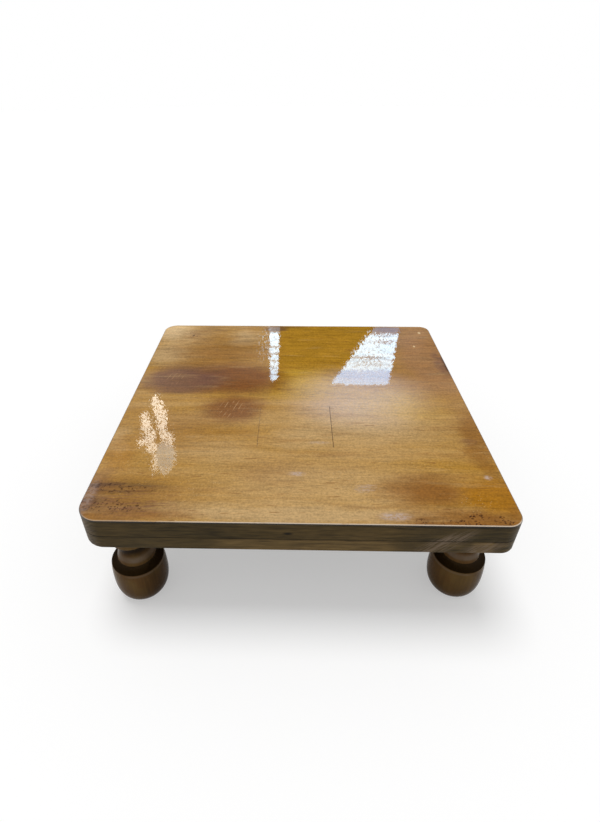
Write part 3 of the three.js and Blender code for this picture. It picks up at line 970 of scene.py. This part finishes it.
class TABLE_OT_rails(bpy.types.Operator):
    """Build the four rails of the frame, with tenons, mortises, bores and countersinks"""

    bl_idname = "low_table.rails"
    bl_label = "Rails"

    def execute(self, context):
        sizes = context.scene.table_sizes
        for node in LONG_RAILS:
            low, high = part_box(node)
            rail = add_block(low, high)
            round_corners(rail, sizes)
            self.soften(rail, low, high, inner_sides(low, high), [], sizes)
            drills = spigot_drills(low, high, sizes) + screw_drills(low, high, sizes, True)
            cut(rail, drills + self.mortises(low, high, sizes))
            finish_piece(context, rail, node, ("olive_stain",))
        for node in SIDE_RAILS:
            low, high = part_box(node)
            rail, reach = add_tenoned(node, sizes, sizes.rail_shoulder)
            sides = [side for side in inner_sides(low, high) if side[0] == 0]
            ends = [(1, low.y + reach), (1, high.y - reach)]
            self.soften(rail, low, high, sides, ends, sizes)
            cut(rail, screw_drills(low, high, sizes, True))
            finish_piece(context, rail, node, ("olive_stain",))
        return {"FINISHED"}

    def soften(self, rail, low, high, sides, ends, sizes):
        """Eases a rail's outer edges and its lower inner edges, but not the ends that meet another rail."""
        ease(rail, level_edges(low.z, sides + ends, False), sizes.rail_arris, 3)
        ease(rail, level_edges(high.z, sides + ends, False), sizes.layer_groove, 1)
        ease(rail, level_edges(low.z, sides, True), sizes.inner_edge, 2)

    def mortises(self, low, high, sizes):
        """Cutters for the mortises in one long rail."""
        cutters = []
        shoulders = {node: sizes.rail_shoulder for node in SIDE_RAILS}
        shoulders.update({node: sizes.batten_shoulder for node in BATTENS})
        inner = high.y if near(low.y, cad_box[0].y) else low.y
        for node, shoulder in shoulders.items():
            half_width, half_thickness, x, z = tenon_section(node, sizes, shoulder)
            half = Vector((half_width + sizes.play, sizes.tenon_length, half_thickness + sizes.play))
            centre = Vector((x, inner, z))
            cutters.append(add_block(centre - half, centre + half))
        return cutters


class TABLE_OT_battens(bpy.types.Operator):
    """Build the two battens under the butt joints, chamfered below and tenoned into the long rails"""

    bl_idname = "low_table.battens"
    bl_label = "Battens"

    def execute(self, context):
        sizes = context.scene.table_sizes
        for node in BATTENS:
            low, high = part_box(node)
            batten, _ = add_tenoned(node, sizes, sizes.batten_shoulder)
            long_sides = [(0, low.x), (0, high.x)]
            ease(batten, level_edges(low.z, long_sides, True), sizes.batten_chamfer, 1)
            ease(batten, self.long_edges(low, high, sizes), sizes.inner_edge * 0.5, 2)
            cut(batten, screw_drills(low, high, sizes, True))
            finish_piece(context, batten, node, ("olive_stain",))
        return {"FINISHED"}

    def long_edges(self, low, high, sizes):
        """A test for the edges that the chamfers leave along a batten."""

        def wanted(start, end):
            along = abs(start.y - end.y) > (high.y - low.y) / 2
            return along and start.z < low.z + sizes.batten_chamfer * 1.2

        return wanted


def smooth_curve(points, steps):
    """Points of a Bezier curve with two, three or four controls, without the first."""
    found = []
    for step in range(1, steps + 1):
        share = step / steps
        row = [Vector(point) for point in points]
        while len(row) > 1:
            row = [first.lerp(second, share) for first, second in zip(row, row[1:])]
        found.append(tuple(row[0]))
    return found


def leg_profile(sizes, ground, seat, top):
    """(radius, height) points of a turned leg, from the middle of its foot to the middle of its spigot."""
    s = sizes
    steps = s.curve_steps
    edge_steps = 5
    bowl_start = s.foot_flat + (s.bowl_radius - s.foot_flat) * 0.6
    bowl_side = (s.bowl_radius, ground + s.bowl_height)
    rim_start = (s.rim_radius, ground + s.rim_height - s.rim_round)
    rim_inner = (s.rim_radius - s.rim_round, ground + s.rim_height)
    bowl_lean = s.bowl_height + (s.rim_height - s.rim_round - s.bowl_height) * 0.6
    cove_top = (s.cove_radius, ground + s.ring_height)
    ring_low = (s.ring_radius - s.ring_round, ground + s.ring_height)
    ring_top = ground + s.ring_height + s.ring_round
    rise = ground + s.waist_height - ring_top
    flare = s.ring_radius - s.waist_radius
    waist = (s.waist_radius, ground + s.waist_height)
    collar_low = seat - s.collar_height
    collar_start = (s.collar_radius - s.collar_round, collar_low)
    collar_side = (s.collar_radius, collar_low + s.collar_round)
    bowl = [(s.foot_flat, ground), (bowl_start, ground)]
    bowl += [(s.bowl_radius, ground + s.bowl_height * 0.28), bowl_side]
    neck = [(s.ring_radius, ring_top), (s.ring_radius - flare * 0.35, ring_top + rise * 0.35)]
    neck += [(s.waist_radius, ring_top + rise * 0.65), waist]
    points = [(0, ground), (s.foot_flat, ground)]
    points += smooth_curve(bowl, steps * 2)
    points += smooth_curve([bowl_side, (s.bowl_radius, ground + bowl_lean), rim_start], steps)
    points += smooth_curve([rim_start, (s.rim_radius, ground + s.rim_height), rim_inner], 4)
    points += smooth_curve([rim_inner, (s.cove_radius, ground + s.rim_height), cove_top], steps)
    points.append(ring_low)
    points += smooth_curve([ring_low, (s.ring_radius, ground + s.ring_height), neck[0]], edge_steps)
    points += smooth_curve(neck, steps)
    points += smooth_curve([waist, (s.waist_radius, collar_low), collar_start], steps)
    points += smooth_curve([collar_start, (s.collar_radius, collar_low), collar_side], edge_steps)
    points += [(s.collar_radius, seat), (s.spigot_radius, seat)]
    points += [(s.spigot_radius, top - s.spigot_chamfer), (s.spigot_radius - s.spigot_chamfer, top)]
    return points + [(0, top)]


class TABLE_OT_legs(bpy.types.Operator):
    """Turn one leg with its bowl-shaped foot, ring, waisted neck and collar, and copy it to four places"""

    bl_idname = "low_table.legs"
    bl_label = "Legs"

    def execute(self, context):
        sizes = context.scene.table_sizes
        low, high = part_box(LEGS[0])
        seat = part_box("front_rail")[0].z
        pattern = turn_profile(leg_profile(sizes, low.z, seat, high.z), sizes.turning_steps)
        rim = low.z + sizes.rim_height - sizes.rim_round * 0.3
        ring = low.z + sizes.ring_height + sizes.ring_round * 0.2
        finishes = ("leg_lacquer", "hollow_shade_stain")
        for leg in place_copies(context, pattern, LEGS, 1.3, finishes, 35.0):
            use_finish(leg, 1, lambda face: rim < face.center.z < ring)
        return {"FINISHED"}


class TABLE_OT_screws(bpy.types.Operator):
    """Model one countersunk wood screw with a cross recess, and copy it to its twenty places"""

    bl_idname = "low_table.screws"
    bl_label = "Screws"

    def execute(self, context):
        sizes = context.scene.table_sizes
        low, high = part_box(SCREWS[0])
        shank, head = sizes.screw_shank, sizes.screw_head
        edge, taper = 0.0002, 0.45
        profile = [(0, low.z), (head - edge, low.z), (head, low.z + edge)]
        profile += [(shank, low.z + sizes.screw_head_depth), (shank, high.z - sizes.screw_tip), (0, high.z)]
        pattern = turn_profile(profile, sizes.screw_steps)
        centre = Vector((0, 0, low.z))
        half_length, half_width = sizes.recess_length / 2, sizes.recess_width / 2
        for half_x, half_y in ((half_length, half_width), (half_width, half_length)):
            half = Vector((half_x, half_y, sizes.recess_depth))
            arm = add_block(centre - half, centre + half)
            choose(arm, "FACE", lambda face: face.normal.z > 0.9)
            bpy.ops.transform.resize(value=(taper, taper, 1), center_override=tuple(centre))
            bpy.ops.object.mode_set(mode="OBJECT")
            cut(pattern, [arm])
        place_copies(context, pattern, SCREWS, 0.73, ("zinc_steel",))
        return {"FINISHED"}


# Stage

CAMERA_PLACE = Vector((-0.00752, -0.5632, 0.52507))
CAMERA_TURN = (0.025021, 0.612927, 0.0049067)
CAMERA_LENS = 21.413
CAMERA_SHIFT = 0.02269
CARD_DEPTH = 2.4
WORLD_LEVEL = 0.45
WINDOW_LEVEL = 13.0
SUNLIT_LEVEL = 11.5

# Clouds of the mirrored sunlit patch: soft ovals as rows, as for the top.
SUNLIT = (
    (-165.6, -137.9, 2.4, 19.0, 0.50, 0.60), (-193.8, -12.0, 4.6, 13.4, 0.45, 1.00),
    (-186.5, -28.6, 6.2, 16.5, 0.45, 1.00), (-177.0, -49.1, 6.4, 18.5, 0.45, 1.00),
    (-172.2, -68.6, 5.5, 15.0, 0.45, 1.00), (-165.2, -87.0, 4.6, 9.0, 0.45, 1.00),
    (-156.0, -96.0, 3.6, 11.0, 0.45, 1.00), (-199.3, -49.5, 4.2, 11.5, 0.45, 1.00),
    (-192.4, -67.9, 5.4, 15.5, 0.45, 1.00), (-181.4, -90.4, 5.8, 12.5, 0.45, 1.00),
    (-189.2, -102.3, 4.8, 7.0, 0.45, 1.00), (-175.3, -110.7, 5.2, 10.0, 0.45, 1.00),
)


def seen_share(finish):
    """1 for rays from the camera and for rays that mirror or pass through, and 0 for the rest."""
    path = finish.node("ShaderNodeLightPath")
    rays = ("Is Camera Ray", "Is Glossy Ray", "Is Transmission Ray")
    seen, mirrored, through = [Value(finish, path.outputs[name]) for name in rays]
    return seen.maths("MAXIMUM", mirrored).maths("MAXIMUM", through)


def pictured(finish):
    """Where on the top the camera sees the mirror image of a point on the card, as two values."""
    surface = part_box("front_board")[1].z
    mirrored = Vector((CAMERA_PLACE.x, CAMERA_PLACE.y, 2 * surface - CAMERA_PLACE.z))
    across, _, height = finish.place()
    share = (surface - mirrored.z) / (height - mirrored.z)
    return (across - mirrored.x) * share + mirrored.x, share * (CARD_DEPTH - mirrored.y) + mirrored.y


def light_window(finish, glow, x, y, jag_x, jag_y, fine, speckle):
    """The window mirrored at the back right, ragged, streaked and bluer at its near end."""
    side = x - y * 0.470
    left = (side - 0.0318 + jag_x * 0.022).step(-0.0008, 0.0008)
    right = (x - y * 0.262 - 0.1216 + jag_y * 0.018).step(0.0008, -0.0008)
    pane = left * right * (y + jag_y * 0.024).step(0.034, 0.037) * y.step(0.228, 0.222)
    level = (y + jag_x * 0.060).step(0.200, 0.193) * 0.90 + 0.06
    streaks = 0.0
    for jag, oval, strength in (
        (jag_y * 0.030, (112, 115.5, 28, 3.6, 0.40), 1.00),
        (jag_x * 0.022, (115, 91.8, 26, 2.2, 0.50), 0.85),
        (jag_x * 0.050, (143, 169.0, 24, 4.2, 0.40, 0.10), 1.00),
        (jag_x * 0.014, (116, 104.0, 28, 10.0, 0.50), fine.step(0.48, 0.58) * 0.70),
        (jag_y * 0.040, (150, 190.0, 20, 4.4, 0.50), 0.70),
    ):
        streaks = cloud(finish.point(x, y + jag, 1.0), *oval) * strength + streaks
    streaks = streaks + jag_x.step(0.10, 0.16) * y.step(0.120, 0.135) * 0.45
    level = level * (1.0 - streaks.clamped() * 0.85) * speckle
    low = (y + jag_x * 0.040).step(0.080, 0.073)
    paler = fine.step(0.40, 0.62) * 0.5 + y.step(0.044, 0.036) * 0.5
    bright = finish.blend(level, (0.6, 1.0, 1.7), glow)
    finish.lay(pane, finish.blend(low, bright, finish.blend(paler, (2.7, 5.4, 9.2), (4.8, 7.4, 10.6))))
    fringe = (side - 0.0288).line(0.006, 0.003) * y.step(0.120, 0.140) * y.step(0.215, 0.205)
    finish.lay(fringe * fine.step(0.54, 0.60) * 0.5, glow)


def light_strip(finish, glow, x, y, flat, nearness, jag_x, jag_y, fine, speckle):
    """The narrow bright strip mirrored at the back, with dark rungs across it."""
    left = (x - (0.1978 - y) * 0.05 + 0.0461 + jag_x * 0.018).step(-0.0008, 0.0008)
    right = (x + 0.0284 + jag_y * 0.016).step(0.0008, -0.0008)
    tip = ((x + 0.0350).maths("ABSOLUTE") * 1.4 + 0.042 - y - jag_x * 0.010).step(0.002, -0.002)
    rungs = ((nearness - 1.404) * 126.9 + jag_x * 7.0).maths("COSINE").step(0.62, 0.95)
    rungs = rungs * y.step(0.165, 0.150) * 0.80
    level = (1.0 - rungs) * ((y + jag_y * 0.024).step(0.203, 0.196) * 0.87 + 0.13) * y.step(0.226, 0.220)
    finish.lay(left * right * tip * level * speckle, glow)
    beside = cloud(flat, -51, 165, 12, 55, 0.60) * fine.step(0.56, 0.62)
    finish.lay(beside * 0.30, glow)


def light_patch(finish, glow, x, y, flat, jag_x, jag_y, fine):
    """The sunlit patch mirrored at the left: ragged bright strokes over a paler block."""
    spot = finish.point(x + jag_x * 0.020, y + jag_y * 0.040, 1.0)
    block = cloud(spot, -155.2, -127.5, 10.4, 27.0, 0.25, 0.21)
    holes = fine.step(0.57, 0.64) * 0.7
    finish.lay(block.step(0.10, 0.40) * (1.0 - holes), (2.5, 3.3, 3.7))
    border = block.step(0.02, 0.20) * block.step(0.75, 0.45) * fine.step(0.50, 0.60)
    strokes = clouds(spot, SUNLIT, 0.23)
    nearly = cloud(flat, -179, -75, 20, 58, 0.40, 0.23)
    sun = strokes.step(0.02, 0.20) * (strokes.clamped() + (fine - 0.5) * 5.0).step(0.36, 0.62)
    sun = sun + border * 0.8 + nearly * fine.step(0.60, 0.66) * 0.45
    finish.lay(sun.clamped() * (jag_y.step(0.14, -0.14) * 0.35 + 0.65), glow)


def room_finish(colours):
    """The dim room that the polished top mirrors: a dark wall, two windows and a sunlit patch."""
    finish = Finish(bpy.data.materials.new("room_light"))
    x, y = pictured(finish)
    flat = finish.point(x, y, 1.0)
    nearness = 1.0 / (y - CAMERA_PLACE.y)
    across = (x - CAMERA_PLACE.x) * nearness

    def ripple(wide, skew, deep, lean, seed, *texture):
        """Noise that looks equally fine to the camera all over the top."""
        return finish.noise(across * wide + nearness * skew, nearness * deep + across * lean, seed, *texture)

    jag_x = ripple(170.0, 31.0, 47.0, -52.0, 2.0, 2.0, 0.7) - 0.5
    jag_y = ripple(170.0, -29.0, 47.0, 52.0, 9.0, 2.0, 0.7) - 0.5
    fine = ripple(210.0, 27.0, 62.0, -71.0, 5.0, 1.0)
    speckle = ripple(180.0, -33.0, 64.0, 60.0, 7.0, 1.0).step(0.32, 0.50) * 0.54 + 0.46

    grey = finish.noise(x * 6.0, y * 8.0, 4.0)
    finish.shade = finish.blend(grey.step(0.35, 0.65), (0.36, 0.33, 0.29), (0.64, 0.62, 0.62))
    calm = cloud(flat, -125, 150, 70, 60, 0.60) + cloud(flat, 190, -160, 80, 80, 0.70)
    finish.lay(calm.clamped() * 0.75, (0.05, 0.05, 0.05))
    finish.lay(cloud(flat, -225, 220, 40, 30, 0.80), (1.5, 1.2, 0.8))
    dark = x.step(-0.044, -0.028) * y.step(-0.015, 0.020)
    finish.lay(dark * (x - y * 0.50).step(0.066, 0.030), (0.02, 0.02, 0.02))
    finish.lay(cloud(flat, 84, 4, 70, 52, 0.80) * 0.80, (2.5, 3.3, 5.0))
    window = tuple(part * WINDOW_LEVEL for part in colours.window)
    sunlit = tuple(part * SUNLIT_LEVEL for part in colours.sunlit)
    light_window(finish, window, x, y, jag_x, jag_y, fine, speckle)
    light_strip(finish, window, x, y, flat, nearness, jag_x, jag_y, fine, speckle)
    light_patch(finish, sunlit, x, y, flat, jag_x, jag_y, fine)
    glow = {"Color": finish.shade, "Strength": 1.0}
    finish.output(finish.value("ShaderNodeEmission", "Emission", None, glow))
    return finish.owner


class TABLE_OT_stage(bpy.types.Operator):
    """Set the pale floor, the world, the wide lamp, the card that the top mirrors and the camera"""

    bl_idname = "low_table.stage"
    bl_label = "Stage"

    def execute(self, context):
        colours = context.scene.table_colours
        self.floor(colours)
        self.world(context)
        self.lamp()
        self.card(colours)
        self.camera(context)
        context.scene.view_settings.view_transform = "Standard"
        return {"FINISHED"}

    def floor(self, colours):
        """A wide plain floor that looks white to the camera and keeps the table's shadow."""
        pick()
        bpy.ops.mesh.primitive_circle_add(vertices=64, radius=9, fill_type="NGON")
        floor = bpy.context.object
        floor.name = "floor"
        finish = Finish(bpy.data.materials.new("floor_white"))
        lift = seen_share(finish) * 0.40
        white = finish.principled(
            Base_Color=colours.floor,
            Roughness=0.9,
            Specular_IOR_Level=0.0,
            Emission_Color=(1, 1, 1),
            Emission_Strength=lift,
        )
        floor.data.materials.append(white)

    def world(self, context):
        """White to the camera and to mirrors, and dimmer as a light."""
        context.scene.world = bpy.data.worlds.new("studio")
        finish = Finish(context.scene.world)
        strength = seen_share(finish) * (1.0 - WORLD_LEVEL) + WORLD_LEVEL
        inputs = {"Color": (1, 1, 1, 1), "Strength": strength}
        glow = finish.value("ShaderNodeBackground", "Background", None, inputs)
        finish.output(glow, "ShaderNodeOutputWorld")

    def lamp(self):
        """A far, wide lamp overhead, turned a little from straight down, that no mirror sees."""
        pick()
        turn = (math.radians(-8), math.radians(-6), 0)
        bpy.ops.object.light_add(type="SUN", rotation=turn, location=(0, 0, 2))
        lamp = bpy.context.object
        lamp.name = "overhead"
        lamp.data.angle = math.radians(28.0)
        lamp.data.energy = 1.73
        lamp.visible_glossy = False

    def card(self, colours):
        """A wide card behind the table that only mirrors see."""
        pick()
        place = (0, CARD_DEPTH, 2.1)
        bpy.ops.mesh.primitive_plane_add(size=1, rotation=(math.pi / 2, 0, 0), location=place)
        card = bpy.context.object
        card.scale = (4.9, 3.2, 1)
        settle(card)
        card.name = "room_card"
        card.data.materials.append(room_finish(colours))
        for way in ("camera", "diffuse", "shadow", "transmission", "volume_scatter"):
            setattr(card, "visible_" + way, False)

    def camera(self, context):
        """The photograph's view, solved from the table's straight edges."""
        yaw, pitch, roll = CAMERA_TURN
        turn = Matrix.Rotation(yaw, 4, "Z") @ Matrix.Rotation(math.pi / 2 - pitch, 4, "X")
        turn = turn @ Matrix.Rotation(-roll, 4, "Z")
        pick()
        bpy.ops.object.camera_add()
        camera = bpy.context.object
        camera.matrix_world = Matrix.Translation(CAMERA_PLACE) @ turn
        camera.data.sensor_width = 36
        camera.data.sensor_fit = "AUTO"
        camera.data.lens = CAMERA_LENS
        camera.data.shift_x = CAMERA_SHIFT
        camera.data.clip_start = 0.01
        context.scene.camera = camera


class TABLE_PT_panel(bpy.types.Panel):
    """Buttons for the pieces and the stage"""

    bl_idname = "TABLE_PT_panel"
    bl_label = "Low Table"
    bl_space_type = "VIEW_3D"
    bl_region_type = "UI"
    bl_category = "Low Table"

    def draw(self, context):
        for operator in OPERATORS:
            self.layout.operator(operator.bl_idname)
        for group in (context.scene.table_sizes, context.scene.table_colours):
            box = self.layout.box()
            for name in group.__annotations__:
                box.prop(group, name)


OPERATORS = (
    TABLE_OT_boards,
    TABLE_OT_rails,
    TABLE_OT_battens,
    TABLE_OT_legs,
    TABLE_OT_screws,
    TABLE_OT_stage,
)
CLASSES = (TableSizes, TableColours, *OPERATORS, TABLE_PT_panel)


def register():
    for each in CLASSES:
        bpy.utils.register_class(each)
    bpy.types.Scene.table_sizes = PointerProperty(type=TableSizes)
    bpy.types.Scene.table_colours = PointerProperty(type=TableColours)


def unregister():
    del bpy.types.Scene.table_sizes
    del bpy.types.Scene.table_colours
    for each in reversed(CLASSES):
        bpy.utils.unregister_class(each)


def main():
    """Builds every piece and the stage."""
    register()
    bpy.ops.low_table.boards()
    bpy.ops.low_table.rails()
    bpy.ops.low_table.battens()
    bpy.ops.low_table.legs()
    bpy.ops.low_table.screws()
    bpy.ops.low_table.stage()


if __name__ == "__main__":
    main()
